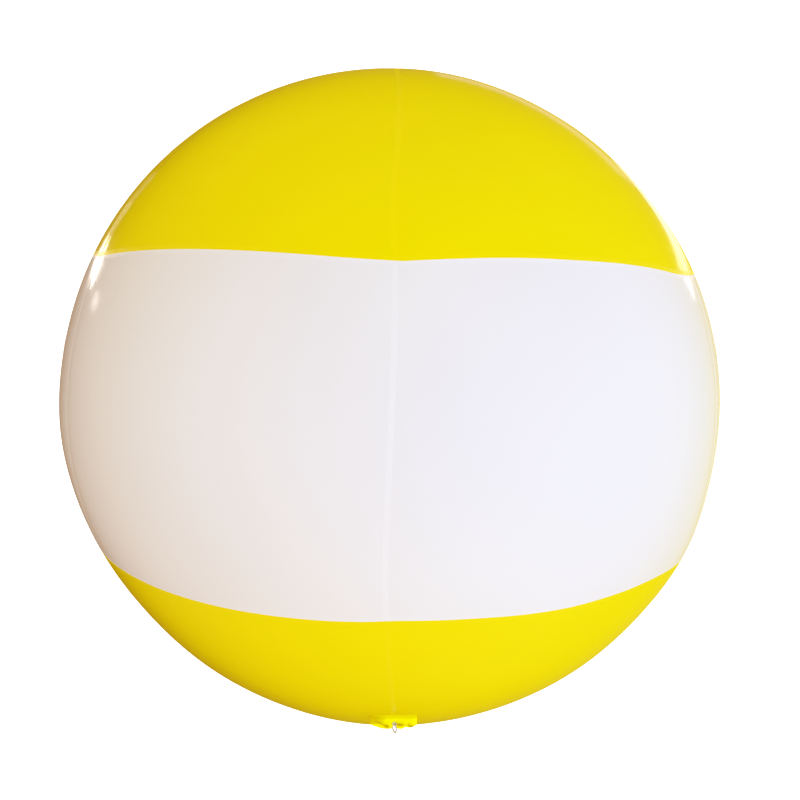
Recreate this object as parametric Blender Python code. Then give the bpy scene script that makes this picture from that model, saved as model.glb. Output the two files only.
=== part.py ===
"""Round inflated advertising balloon, two metres across, in Blender 4.5.

Units are metres and +Z is up. The origin is the centre of the envelope, where the air
carries it. The front seam and the first tether tab face -Y, and azimuths are counted
from there towards +X. The envelope is a shell of six gores, each a yellow, a white and a
yellow panel. Polar caps close both ends, and the inflation valve is at the lower one.
"""

from math import acos, asin, cos, pi, radians, sin, sqrt

import bmesh
import bpy
from mathutils import Matrix, Vector

# Driving dimensions
RADIUS = 1.0
SHELL = 0.010
GAP = 0.0003
GORES = 6
COLUMNS = 8

# Band edges: height between seams, how far a seam pulls the edge to the equator, tilt
UPPER_EDGE = 0.430
UPPER_PULL = 0.018
UPPER_TILT = radians(1.25)
LOWER_EDGE = -0.392
LOWER_PULL = 0.005

# Latitude where the gores end in a polar hole, and of the tether tabs' upper edge
TIP_LATITUDE = radians(86.0)
TAB_LATITUDE = radians(-48.6)

# Polar caps
CAP_RADIUS = 0.115
CAP_FILM = 0.0025
CAP_SLACK = 0.00045
CAP_BEND = 0.050
CAP_STEPS = 24

# Inflation valve, on a flat seat of the lower cap
SEAT_RADIUS = 0.050
SEAT_DEPTH = 0.0032
NECK_RADIUS = 0.0235
BORE_RADIUS = 0.0175
NECK_LENGTH = 0.024
VALVE_FLANGE_RADIUS = 0.044
VALVE_FLANGE = 0.003
VALVE_INSIDE = 0.018
VALVE_FLOOR = 0.003
LID_RADIUS = 0.0255
LID_THICKNESS = 0.004
LID_GAP = 0.0004
LID_BEVEL = 0.0007
HINGE_REACH = 0.0310
HINGE_RADIUS = 0.0018
HINGE_WIDTH = 0.016
HINGE_SLACK = 0.00045
KNUCKLE_SIDES = 12
TONGUE_THICKNESS = 0.0024
TONGUE_LAP = 0.003
LUG_THICKNESS = 0.004
LUG_SINK = 0.001

# Tether tabs, each a folded strip of film with an eyelet and a steel ring
TABS = 3
TAB_WIDTH = 0.117
TAB_DROP = 0.032
TAB_BASE = 0.060
TAB_FILM = 0.0025
TAB_LAP = 0.003
TAB_FOLD = 0.003
TAB_ROUNDING = 0.0015
TAB_STEPS = 8
EYELET_DROP = 0.0194
EYELET_BORE = 0.005
EYELET_BARREL = 0.006
EYELET_RADIUS = 0.008
EYELET_FLANGE = 0.001
EYELET_SLACK = 0.0004
EYELET_STEPS = 20
RING_RADIUS = 0.011
RING_WIRE = 0.002
RING_DROP = 0.0008
RING_YAW = radians(25.0)
RING_STEPS = 24
WIRE_SIDES = 8

# Material: colour, roughness, metallic
FINISHES = {
    "yellow_film": ((0.90, 0.72, 0.01), 0.28, 0.0),
    "white_film": ((0.88, 0.87, 0.86), 0.28, 0.0),
    "valve_plastic": ((0.82, 0.82, 0.80), 0.45, 0.0),
    "steel": ((0.66, 0.66, 0.68), 0.30, 1.0),
}


def clear_scene():
    """Removes every object of the scene."""
    for thing in list(bpy.data.objects):
        bpy.data.objects.remove(thing, do_unlink=True)


def make_materials():
    """One Principled material for each finish, by name."""
    made = {}
    for name, (colour, roughness, metallic) in FINISHES.items():
        material = bpy.data.materials.new(name)
        material.use_nodes = True
        shader = material.node_tree.nodes["Principled BSDF"]
        shader.inputs["Base Color"].default_value = (*colour, 1.0)
        shader.inputs["Roughness"].default_value = roughness
        shader.inputs["Metallic"].default_value = metallic
        made[name] = material
    return made


def finish_object(name, bm, material, sharp_deg=30.0):
    """Turns a bmesh into a smooth shaded object with its faces pointing out."""
    bmesh.ops.recalc_face_normals(bm, faces=bm.faces[:])
    mesh = bpy.data.meshes.new(name)
    bm.to_mesh(mesh)
    bm.free()
    mesh.materials.append(material)
    mesh.shade_smooth()
    mesh.set_sharp_from_angle(angle=radians(sharp_deg))
    thing = bpy.data.objects.new(name, mesh)
    bpy.context.scene.collection.objects.link(thing)
    return thing


def on_sphere(azimuth, latitude, radius=RADIUS):
    """The point of a sphere at an azimuth and a latitude."""
    level = radius * cos(latitude)
    return Vector((level * sin(azimuth), -level * cos(azimuth), radius * sin(latitude)))


def seam_pull(azimuth):
    """How much of a seam's pull acts at an azimuth: 1 on a seam, 0 halfway between two."""
    return 1.0 - abs(sin(GORES * azimuth / 2.0))


def upper_edge(azimuth):
    """Latitude of the band's upper edge."""
    height = UPPER_EDGE - UPPER_PULL * seam_pull(azimuth)
    height -= UPPER_TILT * sin(azimuth) * sqrt(1.0 - height * height)
    return asin(height)


def lower_edge(azimuth):
    """Latitude of the band's lower edge."""
    return asin(LOWER_EDGE + LOWER_PULL * seam_pull(azimuth))


def ladder(*stops):
    """Latitudes through the stops, from (latitude, rows to the next stop) pairs."""
    rows = []
    for (low, count), (high, _) in zip(stops, stops[1:]):
        rows += [low + (high - low) * i / count for i in range(count)]
    return rows + [stops[-1][0]]


def upper_rows(azimuth):
    return ladder((upper_edge(azimuth), 8), (TIP_LATITUDE, 0))


def band_rows(azimuth):
    return ladder((lower_edge(azimuth), 3), (0.0, 3), (upper_edge(azimuth), 0))


def lower_rows(azimuth):
    return ladder((-TIP_LATITUDE, 5), (TAB_LATITUDE, 3), (lower_edge(azimuth), 0))


def gore_panel(name, gore, rows_at, material):
    """One panel of a gore: a grid on the sphere, made a shell by a scaled extrusion."""
    span = 2.0 * pi / GORES
    row_count = len(rows_at(0.0)) - 1
    bm = bmesh.new()
    bmesh.ops.create_grid(bm, x_segments=COLUMNS, y_segments=row_count, size=0.5)
    for vert in bm.verts:
        column = vert.co.x + 0.5
        row = round((vert.co.y + 0.5) * row_count)
        azimuth = span * (gore + column)
        latitude = rows_at(azimuth)[row]
        if row == 0:
            latitude += GAP / 2.0 / RADIUS
        if row == row_count:
            latitude -= GAP / 2.0 / RADIUS
        side_gap = GAP / 2.0 / (RADIUS * cos(latitude))
        azimuth += side_gap * (1.0 - 2.0 * column)
        vert.co = on_sphere(azimuth, latitude)
    made = bmesh.ops.extrude_face_region(bm, geom=bm.faces[:])
    inside = [part for part in made["geom"] if isinstance(part, bmesh.types.BMVert)]
    shrink = Matrix.Scale((RADIUS - SHELL) / RADIUS, 4)
    bmesh.ops.transform(bm, matrix=shrink, verts=inside)
    return finish_object(name, bm, material)


def turned(profile, steps, start=0.0, turn=2.0 * pi):
    """A bmesh turned about Z from a closed profile of (radius, height) points."""
    bm = bmesh.new()
    verts = [bm.verts.new(on_axis(radius, height, start)) for radius, height in profile]
    edges = [bm.edges.new(pair) for pair in zip(verts, verts[1:] + verts[:1])]
    full = abs(turn - 2.0 * pi) < 1e-6
    geometry = verts + edges
    if not full:
        geometry.append(bm.faces.new(verts))
    spun = bmesh.ops.spin(
        bm,
        geom=geometry,
        cent=(0.0, 0.0, 0.0),
        axis=(0.0, 0.0, 1.0),
        angle=turn,
        steps=steps,
        use_merge=full,
    )
    if not full:
        bm.faces.ensure_lookup_table()
        last = [part for part in spun["geom_last"] if isinstance(part, bmesh.types.BMFace)]
        if not last:
            ends = [part for part in spun["geom_last"] if isinstance(part, bmesh.types.BMVert)]
            bm.faces.new(ends)
    bmesh.ops.remove_doubles(bm, verts=bm.verts[:], dist=1e-6)
    bmesh.ops.dissolve_degenerate(bm, edges=bm.edges[:], dist=1e-7)
    return bm


def on_axis(radius, height, azimuth):
    """A point at a radius from the Z axis, a height and an azimuth."""
    return Vector((radius * sin(azimuth), -radius * cos(azimuth), height))


def cap_flange(side):
    """The part of a polar cap's profile that lies on the film, out to the rim and back."""
    under = RADIUS + GAP
    over = under + CAP_FILM
    rim = acos(CAP_RADIUS / RADIUS)
    inward = (rim + TIP_LATITUDE) / 2.0
    return [
        (under * cos(rim), side * under * sin(rim)),
        (over * cos(rim), side * over * sin(rim)),
        (over * cos(inward), side * over * sin(inward)),
    ]


def cap_plug(side):
    """The two outer corners of the plug that fills the hole between the gores' tips."""
    inner = RADIUS - SHELL
    outer = RADIUS + GAP
    tip = TIP_LATITUDE + CAP_SLACK / RADIUS
    return [
        (inner * cos(tip), side * inner * sin(tip)),
        (outer * cos(tip), side * outer * sin(tip)),
    ]


def top_cap(material):
    """Film disc over the gores' upper tips, with the plug that closes the shell."""
    over = RADIUS + GAP + CAP_FILM
    profile = [(0.0, RADIUS - SHELL)] + cap_plug(1.0) + cap_flange(1.0)
    profile += [(CAP_BEND, sqrt(over**2 - CAP_BEND**2)), (0.0, over)]
    return finish_object("top_polar_cap", turned(profile, CAP_STEPS), material)


def bottom_cap(material):
    """Film disc over the gores' lower tips, with a flat seat and a hole for the valve."""
    hole = NECK_RADIUS + GAP
    seat = -(RADIUS + SEAT_DEPTH)
    profile = [(hole, -(RADIUS - SHELL))] + cap_plug(-1.0) + cap_flange(-1.0)
    profile += [(SEAT_RADIUS, seat), (hole, seat)]
    return finish_object("bottom_polar_cap", turned(profile, CAP_STEPS), material)


def valve_levels():
    """Heights of the valve: its flange's upper and lower face, and the neck's mouth."""
    flange_top = -(RADIUS + SEAT_DEPTH + GAP)
    flange_low = flange_top - VALVE_FLANGE
    mouth = flange_top - NECK_LENGTH
    return flange_top, flange_low, mouth


def valve_body(material):
    """Cup-shaped valve body: flange, neck and inner cup, with the lug of the lid's hinge."""
    flange_top, flange_low, mouth = valve_levels()
    inside = flange_top + VALVE_INSIDE
    profile = [
        (0.0, inside - VALVE_FLOOR),
        (BORE_RADIUS, inside - VALVE_FLOOR),
        (BORE_RADIUS, mouth),
        (NECK_RADIUS, mouth),
        (NECK_RADIUS, flange_low),
        (VALVE_FLANGE_RADIUS, flange_low),
        (VALVE_FLANGE_RADIUS, flange_top),
        (NECK_RADIUS, flange_top),
        (NECK_RADIUS, inside),
        (0.0, inside),
    ]
    body = finish_object("valve_body", turned(profile, CAP_STEPS), material)
    back = HINGE_REACH + HINGE_RADIUS + HINGE_SLACK
    lug = block(
        "lug_tool",
        (-HINGE_WIDTH / 2.0, back, mouth - HINGE_RADIUS),
        (HINGE_WIDTH / 2.0, back + LUG_THICKNESS, flange_low + LUG_SINK),
    )
    join(body, lug, "UNION")
    return body


def block(name, low, high):
    """A plain box between two corners, used as a tool."""
    bm = bmesh.new()
    bmesh.ops.create_cube(bm, size=1.0)
    size = [high[axis] - low[axis] for axis in range(3)]
    middle = [(high[axis] + low[axis]) / 2.0 for axis in range(3)]
    bmesh.ops.scale(bm, vec=size, verts=bm.verts[:])
    bmesh.ops.translate(bm, vec=middle, verts=bm.verts[:])
    return tool_object(name, bm)


def rod(name, radius, length, centre, direction, sides):
    """A plain cylinder about a direction, used as a tool."""
    bm = bmesh.new()
    bmesh.ops.create_cone(
        bm, cap_ends=True, segments=sides, radius1=radius, radius2=radius, depth=length
    )
    turn = Vector((0.0, 0.0, 1.0)).rotation_difference(Vector(direction)).to_matrix().to_4x4()
    bmesh.ops.transform(bm, matrix=Matrix.Translation(centre) @ turn, verts=bm.verts[:])
    return tool_object(name, bm)


def tool_object(name, bm):
    """A hidden object for a Boolean."""
    bmesh.ops.recalc_face_normals(bm, faces=bm.faces[:])
    mesh = bpy.data.meshes.new(name)
    bm.to_mesh(mesh)
    bm.free()
    thing = bpy.data.objects.new(name, mesh)
    bpy.context.scene.collection.objects.link(thing)
    thing.hide_render = True
    thing.display_type = "WIRE"
    return thing


def join(body, tool, operation):
    """Adds an exact Boolean of the tool to the body."""
    cut = body.modifiers.new(tool.name, "BOOLEAN")
    cut.operation = operation
    cut.solver = "EXACT"
    cut.object = tool


def valve_lid(material):
    """Flat lid with a tongue and a knuckle on the hinge's axis."""
    top = valve_levels()[2] - LID_GAP
    low = top - LID_THICKNESS
    profile = [
        (0.0, top),
        (LID_RADIUS - LID_BEVEL, top),
        (LID_RADIUS, top - LID_BEVEL),
        (LID_RADIUS, low + LID_BEVEL),
        (LID_RADIUS - LID_BEVEL, low),
        (0.0, low),
    ]
    lid = finish_object("valve_lid", turned(profile, CAP_STEPS), material)
    axis_height = hinge_height()
    tongue = block(
        "tongue_tool",
        (-HINGE_WIDTH / 2.0, LID_RADIUS - TONGUE_LAP, axis_height - TONGUE_THICKNESS / 2.0),
        (HINGE_WIDTH / 2.0, HINGE_REACH, axis_height + TONGUE_THICKNESS / 2.0),
    )
    join(lid, tongue, "UNION")
    centre = (0.0, HINGE_REACH, axis_height)
    width = HINGE_WIDTH - LID_GAP
    knuckle = rod("knuckle_tool", HINGE_RADIUS, width, centre, (1, 0, 0), KNUCKLE_SIDES)
    join(lid, knuckle, "UNION")
    return lid


def hinge_height():
    """Height of the lid's hinge axis, halfway through the lid."""
    return valve_levels()[2] - LID_GAP - LID_THICKNESS / 2.0


def tab_profile():
    """Section of a tether tab: a base along the film, a fold, and a flap that hangs."""
    rows = lower_rows(0.0)
    row_below = rows[rows.index(TAB_LATITUDE) - 1]
    start = Vector((RADIUS * cos(TAB_LATITUDE), RADIUS * sin(TAB_LATITUDE)))
    end = Vector((RADIUS * cos(row_below), RADIUS * sin(row_below)))
    along = (end - start).normalized()
    out = Vector((-along.y, along.x))
    if out.x < 0.0:
        out = -out
    top = start - TAB_LAP * along + GAP * out
    low = start + TAB_BASE * along + GAP * out
    base_end = low + TAB_FILM * out
    flap_out = top.x + TAB_FOLD
    flap_in = flap_out - TAB_FILM
    base_out = start + (GAP + TAB_FILM) * out
    corner = base_out + along * ((flap_in - base_out.x) / along.x)
    flap_low = start.y - TAB_DROP
    return [
        (top.x, top.y),
        (low.x, low.y),
        (base_end.x, base_end.y),
        (corner.x, corner.y),
        (flap_in, flap_low),
        (flap_out, flap_low),
        (flap_out, top.y - TAB_ROUNDING),
    ]


def flap_reach():
    """How far the outer face of a tab's flap is from the balloon's axis."""
    return max(radius for radius, _ in tab_profile())


def eyelet_centre(azimuth):
    """Centre of a tab's eyelet, in the middle of its flap."""
    height = RADIUS * sin(TAB_LATITUDE) - EYELET_DROP
    return on_axis(flap_reach() - TAB_FILM / 2.0, height, azimuth)


def tether_tab(number, azimuth, material):
    """One tab, turned about the balloon's axis so that its base follows the film."""
    half = TAB_WIDTH / 2.0 / flap_reach()
    bm = turned(tab_profile(), TAB_STEPS, azimuth - half, 2.0 * half)
    tab = finish_object(f"tether_tab_{number}", bm, material)
    outward = on_axis(1.0, 0.0, azimuth)
    hole = rod(
        f"eyelet_hole_{number}",
        EYELET_BARREL + GAP,
        4.0 * TAB_FILM,
        eyelet_centre(azimuth),
        outward,
        EYELET_STEPS,
    )
    join(tab, hole, "DIFFERENCE")
    return tab


def place(thing, azimuth, centre):
    """Sets a piece modelled about Z so that its Z axis points outwards at an azimuth."""
    outward = on_axis(1.0, 0.0, azimuth)
    sideways = Vector((0.0, 0.0, 1.0)).cross(outward)
    up = Vector((0.0, 0.0, 1.0))
    turn = Matrix((sideways, up, outward)).transposed()
    if turn.determinant() < 0.0:
        turn = Matrix((-sideways, up, outward)).transposed()
    thing.matrix_world = Matrix.Translation(centre) @ turn.to_4x4()


def tether_eyelet(number, azimuth, material):
    """Spool-shaped eyelet clamped on the flap."""
    near = TAB_FILM / 2.0 + EYELET_SLACK
    far = near + EYELET_FLANGE
    profile = [
        (EYELET_BORE, -far),
        (EYELET_RADIUS, -far),
        (EYELET_RADIUS, -near),
        (EYELET_BARREL, -near),
        (EYELET_BARREL, near),
        (EYELET_RADIUS, near),
        (EYELET_RADIUS, far),
        (EYELET_BORE, far),
    ]
    bm = turned(profile, EYELET_STEPS)
    eyelet = finish_object(f"tether_eyelet_{number}", bm, material)
    place(eyelet, azimuth, eyelet_centre(azimuth))
    return eyelet


def tether_ring(number, azimuth, material):
    """Wire ring that hangs turned in the eyelet. Its origin is on its swing's axis."""
    section = []
    for side in range(WIRE_SIDES):
        angle = 2.0 * pi * (side + 0.5) / WIRE_SIDES
        section.append((RING_RADIUS + RING_WIRE * cos(angle), RING_WIRE * sin(angle)))
    half_step = pi / RING_STEPS
    bm = turned(section, RING_STEPS, half_step)
    upright = Matrix.Rotation(pi / 2.0 + RING_YAW, 4, "Y")
    drop = Matrix.Translation((0.0, -RING_RADIUS, 0.0))
    bmesh.ops.transform(bm, matrix=drop @ upright, verts=bm.verts[:])
    ring = finish_object(f"tether_ring_{number}", bm, material)
    place(ring, azimuth, eyelet_centre(azimuth) - Vector((0.0, 0.0, RING_DROP)))
    return ring


def build():
    clear_scene()
    finishes = make_materials()
    zones = (
        ("upper_panel", upper_rows, "yellow_film"),
        ("band_panel", band_rows, "white_film"),
        ("lower_panel", lower_rows, "yellow_film"),
    )
    for zone, rows_at, finish in zones:
        for gore in range(GORES):
            gore_panel(f"{zone}_{gore + 1}", gore, rows_at, finishes[finish])
    top_cap(finishes["yellow_film"])
    bottom_cap(finishes["yellow_film"])
    valve_body(finishes["valve_plastic"])
    valve_lid(finishes["valve_plastic"])
    for number in range(TABS):
        azimuth = 2.0 * pi * number / TABS
        tether_tab(number + 1, azimuth, finishes["yellow_film"])
        tether_eyelet(number + 1, azimuth, finishes["steel"])
        tether_ring(number + 1, azimuth, finishes["steel"])


build()
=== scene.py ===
"""Looks of the round inflated advertising balloon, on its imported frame.

Metres, +Z up, origin at the envelope's centre, front seam towards -Y. Azimuths are
counted from the front seam towards +X. A step is given by two values, where it is 0 and
where it is 1. A fade is given by four: it is 0 up to the first, 1 from the second to the
third, and 0 again from the fourth on.
"""

from math import cos, pi, radians, sin, sqrt, tan

import bmesh
import bpy
import numpy as np
from mathutils import Matrix, Vector


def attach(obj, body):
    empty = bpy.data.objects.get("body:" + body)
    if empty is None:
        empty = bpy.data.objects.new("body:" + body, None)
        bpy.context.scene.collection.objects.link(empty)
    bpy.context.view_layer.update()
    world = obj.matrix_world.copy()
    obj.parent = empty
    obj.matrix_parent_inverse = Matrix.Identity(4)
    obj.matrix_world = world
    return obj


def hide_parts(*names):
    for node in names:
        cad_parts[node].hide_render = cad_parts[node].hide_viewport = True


# Envelope, as in the CAD
RADIUS = 1.0
GORES = 6
SPAN = 2.0 * pi / GORES
UPPER_EDGE = 0.430
UPPER_PULL = 0.018
UPPER_TILT = radians(1.25)
LOWER_EDGE = -0.392
LOWER_PULL = 0.005
TIP_LATITUDE = radians(87.0)

# Welds of the seams: half the width, how soft the lip is, height over the film, how deep
# and wide the film is drawn in, and where and to what share that fades near the poles
WELD_HALF = 0.0065
WELD_LIP = 0.0030
WELD_RISE = 0.00012
VALLEY_DEPTH = 0.0005
VALLEY_WIDTH = 0.050
VALLEY_AT_POLE = 0.35
POLE_STEP = (radians(89.0), radians(70.0))
STRAIN_WIDTH = 0.05

# Lapped welds along the band's edges: width, lip, step at the edge, how deep and wide the
# film is drawn in, and a step for the look of a weld on the band itself
EDGE_WELD = 0.012
EDGE_LIP = 0.0015
EDGE_STEP = 0.0008
EDGE_VALLEY = 0.0002
EDGE_VALLEY_WIDTH = 0.030
BAND_RIM = (0.008, 0.002)

# Puckers across a seam: height, how soon and how far from it they show, and how much they
# weaken in places. Each wave along it: length in metres, share of the height, phase a seam,
# then how far it sways, how fast, and the sway's phase a seam.
PUCKER_HEIGHT = 0.00012
PUCKER_START = 0.012
PUCKER_WIDTH = 0.055
PUCKER_LULL = 0.45
PUCKER_WAVES = (
    (0.083, 1.0, 2.3, 1.6, 9.0, 1.0),
    (0.047, 0.5, 4.1, 2.0, 5.0, 0.0),
)

# Uneven fullness of the film: azimuth, latitude and width in degrees, swell in metres
SWELLS = (
    (62.0, -22.0, 8.0, 0.0130),
    (51.0, -41.0, 11.0, 0.0055),
    (66.0, 0.0, 9.0, 0.0040),
    (-70.0, -3.0, 8.0, 0.0065),
    (-58.0, -36.0, 11.0, -0.0110),
    (-38.0, -54.0, 10.0, -0.0060),
    (66.0, 42.0, 10.0, -0.0070),
    (58.0, 62.0, 9.0, -0.0045),
    (115.0, 20.0, 13.0, 0.0060),
    (150.0, -30.0, 13.0, -0.0070),
    (-165.0, 35.0, 13.0, 0.0060),
    (-120.0, -10.0, 13.0, -0.0060),
)

# Distance of the grid's columns from a seam. The rest of the gore has OPEN_COLUMNS more,
# which widen by a power.
SEAM_COLUMNS = (0.0, 0.0050, 0.0058, 0.0065, 0.0072, 0.0080, 0.011, 0.016, 0.023, 0.032)
OPEN_COLUMNS = 13
COLUMN_GROWTH = 1.15
ZONE_ROWS = {"upper": (4, 1, 92), "band": (2, 76, 2), "lower": (96, 1, 4)}

# Rounds in which a seam's row and its azimuth there are brought together
SEAM_ROUNDS = 8

# Step in radians for the film's normals, and the least cosines of latitude divided by
NORMAL_STEP = 2e-4
LEAST_NORMAL_COSINE = 0.02
LEAST_SEAM_COSINE = 0.05

# Where the front seam wanders off its meridian: latitude in degrees, metres to the right.
# The line through these places is softened over so many degrees each way, with samples.
FRONT_WANDER = (
    (-90.0, 0.0),
    (-50.0, 0.0),
    (-29.0, -0.024),
    (-26.0, -0.025),
    (-17.0, -0.039),
    (0.0, -0.029),
    (19.0, -0.018),
    (24.0, -0.018),
    (28.0, -0.024),
    (36.0, -0.020),
    (42.0, -0.008),
    (58.0, 0.003),
    (90.0, 0.0),
)
WANDER_SOFTENING = 5.0
WANDER_SAMPLES = 11

# How the other seams wander, as waves: metres, waves a radian, share of the seam's phase
OTHER_WANDER = ((0.003, 2.6, 1.0), (0.0015, 6.1, 1.7))
SEAM_PHASE = 2.1

# How far the band's edges waver: azimuth in degrees, metres upwards
UPPER_WAVER = (
    (-60.0, -0.001),
    (-40.0, -0.0025),
    (-25.0, -0.0045),
    (-9.0, -0.0060),
    (-4.0, -0.0045),
    (0.0, -0.002),
    (6.0, 0.0),
    (12.0, 0.001),
    (19.0, 0.0),
    (25.0, -0.003),
    (34.0, -0.0045),
    (42.0, -0.0075),
    (50.0, -0.012),
    (56.0, -0.008),
    (60.0, -0.001),
)
LOWER_WAVER = (
    (-60.0, 0.001),
    (-46.0, 0.0035),
    (-36.0, 0.002),
    (-25.0, -0.001),
    (-10.0, -0.003),
    (-5.0, -0.0015),
    (0.0, 0.002),
    (11.0, 0.003),
    (18.0, 0.0),
    (26.0, -0.0015),
    (33.0, 0.002),
    (44.0, 0.004),
    (60.0, 0.001),
)

# Polar caps, as in the CAD, with a fade for the welded ring, one for the puckers, and a
# step for the strain at the edge
CAP_RADIUS = 0.115
CAP_RISE = 0.0016
CAP_LIP = 0.0006
CAP_PINHOLE = 0.0005
CAP_RING = (0.0930, 0.0945, 0.1065, 0.1080)
CAP_RING_DEPTH = 0.0005
CAP_PUCKERS = 36.0
CAP_PUCKER_FADE = (0.060, 0.092, 0.094, 0.114)
CAP_PUCKER_HEIGHT = 0.0007
CAP_STRAIN = (0.07, 0.1)

# Grid of a cap: even rows up to a radius, then closer ones at the ring
CAP_STEPS = 240
CAP_EVEN_RADIUS = 0.090
CAP_EVEN_ROWS = 14
CAP_RING_ROWS = (0.0935, 0.0945, 0.100, 0.1065, 0.1075, 0.112)

# The valve's flat seat on the lower cap, and the slope down to it, as in the CAD
SEAT_LEVEL = -1.0032
SEAT_SLOPE = (0.062, 0.046)
NECK_RADIUS = 0.0235
NECK_GAP = 0.0003

# Tether tabs, as in the CAD, but for the flap's drop: its crumpled lobes hang lower
TABS = 3
TAB_LATITUDE = radians(-48.6)
TAB_WIDTH = 0.117
TAB_DROP = 0.0375

# Flap: rows and columns, thickness, how it starts on the film, how far it bulges and how
# much further its left end reaches. Places run from -1 to 1 across it and from 0 to 1 down.
FLAP_GRID = (41, 129)
FLAP_FILM = 0.0011
FLAP_GAP = 0.0008
FLAP_RISE = 0.0025
FLAP_RISE_STEP = (0.0, 0.10)
FLAP_BULGE = 0.0042
FLAP_BULGE_STEP = (0.0, 0.22)
FLAP_LEFT_END = 0.003
FLAP_LEFT_END_STEP = (-0.5, -1.0)

# The flap's waves, the fringe of its foot, the roll along its top and the fade of its hem,
# and how far from its middle it stays calm
FLAP_WAVE = 0.0022
FLAP_FRINGE = 0.0008
FLAP_FRINGE_STEP = (0.3, 0.6)
FLAP_ROLL = 0.0035
FLAP_ROLL_FADE = (0.0, 0.45, 0.58, 0.78)
FLAP_HEM = (0.80, 0.86, 0.97, 1.0)
FLAP_CALM = 0.024

# Shares by which the flap is shorter: at its rounded ends, and in its left and right part
FLAP_ROUNDING = 0.30
FLAP_LEFT_CUT = 0.13
FLAP_LEFT_CUT_STEP = (-0.30, -0.75)
FLAP_RIGHT_CUT = 0.11
FLAP_RIGHT_CUT_FADE = (0.30, 0.50, 0.6, 1.2)

# Painted shade on the flap's left end; where its painted light begins, lower on the left
FLAP_SHADE = 0.28
FLAP_SHADE_ACROSS = (-0.50, -0.78)
FLAP_SHADE_DOWN = (0.75, 0.55)
PAINTED_LIGHT_STEP = (-0.05, 0.25)
PAINTED_LIGHT_LEFT = 0.58
PAINTED_LIGHT_LEFT_STEP = (-0.30, -0.72)

# How much shorter the flap is behind the eyelet and the ring: metres, half the width
RING_NOTCHES = ((0.0038, 0.0240), (0.0082, 0.0066))

# Tucks of the flap: place across, level down, width, height, lean, metres they stand out
FLAP_TUCKS = (
    (-0.37, 0.68, 0.12, 0.16, 0.90, 0.0060),
    (-0.45, 0.62, 0.20, 0.10, 0.45, 0.0040),
    (0.27, 0.62, 0.19, 0.12, 0.05, 0.0060),
    (0.72, 0.78, 0.11, 0.16, 0.60, 0.0050),
    (-0.94, 0.60, 0.08, 0.14, 0.20, 0.0035),
    (-0.70, 0.44, 0.15, 0.10, 0.25, 0.0030),
)

# A tuck in heights of its own: how far above it starts, half its sharp step, how far below
# its hollow ends, and the hollow's share of its depth
TUCK_TOP = 2.2
TUCK_STEP = 0.3
TUCK_FOOT = 2.5
TUCK_HOLLOW = 0.35

# Patch under the flap: rows and columns, top, height, how its lower part narrows, its
# thickness, the weld along its border, and how far its outline is sunk into the envelope
PATCH_GRID = (33, 49)
PATCH_TOP = 0.004
PATCH_HEIGHT = 0.062
PATCH_NARROWING = 0.010
PATCH_NARROWING_STEP = (0.75, 1.0)
PATCH_FILM = 0.0011
PATCH_EDGE_STEP = (1.0, 0.985)
PATCH_OUTLINE = 0.999
PATCH_WELD = (0.80, 0.84, 0.95, 0.98)
PATCH_WELD_DEPTH = 0.0003
PATCH_SINK = 0.0004

# Eyelet: its place, as in the CAD, its bore, outside of the barrel, half its length and
# where the barrel meets the curl, then the curl's centre and size
EYELET_REACH = 0.66562
EYELET_LEVEL = -0.769511
EYELET_BORE = 0.0034
EYELET_BARREL = 0.0040
EYELET_HALF = 0.0017
EYELET_NECK = 0.8 * EYELET_HALF
CURL_RADIUS = 0.0045
CURL_RISE = 0.0002
CURL_WIDE = 0.0009
CURL_TALL = 0.0007
CURL_POINTS = 10
CURL_ARC = (-0.5 * pi, 0.95 * pi)

# Turned pieces: steps round, from which angle an edge is sharp, how near points are joined
EYELET_STEPS = 48
SHARP_ANGLE = radians(40.0)
SAME_PLACE = 1e-6

# Ring, as in the CAD, with steps round it and round its wire
RING_LEVEL = -0.770311
RING_YAW = radians(25.0)
RING_RADIUS = 0.011
RING_WIRE = 0.002
RING_STEPS = (96, 20)

# Colours of each film: its tone, its cloudy tone, its welds and the tint of its gloss, and
# for the flap the lighter tone of the painted light on its lower part
YELLOW = ((0.90, 0.78, 0.0), (0.88, 0.76, 0.0), (0.93, 0.80, 0.0), (1.0, 0.86, 0.0))
FLAP = (*YELLOW[:2], (0.98, 0.93, 0.0), YELLOW[3], (1.0, 0.97, 0.0))
WHITE = ((0.855, 0.85, 0.858), (0.84, 0.835, 0.843), (0.90, 0.895, 0.91), (1.0, 1.0, 1.0))
# Painted shade in the flap's tucks and on its left end: a dark orange-brown
PAINTED_FOLD_SHADE = (0.56, 0.32, 0.0)
STEEL_TONES = ((0.90, 0.80, 0.87), (0.62, 0.52, 0.58))
PLASTIC_TONES = ((0.80, 0.80, 0.77), (0.72, 0.72, 0.68))

# Gloss of the film, what scuffs and welds add to it, and the share of the welds' own tone
FILM_ROUGHNESS = 0.11
SCUFF_ROUGHNESS = 0.06
WELD_ROUGHNESS = 0.10
WELD_TONE = 0.75
FILM_IOR = 1.5

# Gloss of the other materials, from their clean to their dull places
STEEL_ROUGHNESS = (0.22, 0.40)
STEEL_METALLIC = 0.55
PLASTIC_ROUGHNESS = (0.36, 0.48)
STAGE_ROUGHNESS = 0.9

# Patterns: how many fit in a metre, how much detail they have, and how rough it is where
# that isn't as usual
CLOUDS = (2.3, 3.0)
SCUFFS = (34.0, 6.0, 0.65)
STEEL_BLOTCHES = (160.0, 4.0)
PLASTIC_BLOTCHES = (60.0, 3.0)
STAGE_BLOTCHES = (0.4, 2.0)

# Relief too fine for the meshes: how many in a metre, height in metres
EMBOSSING = (520.0, 0.00008)
FILM_RIPPLES = (7.0, 0.0005)
SEAM_STRAIN = (26.0, 0.0002)
FILM_GRAIN = (420.0, 0.00002)
WIRE_SCRATCHES = (900.0, 0.00003)
PLASTIC_GRAIN = (1400.0, 0.00003)

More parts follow.
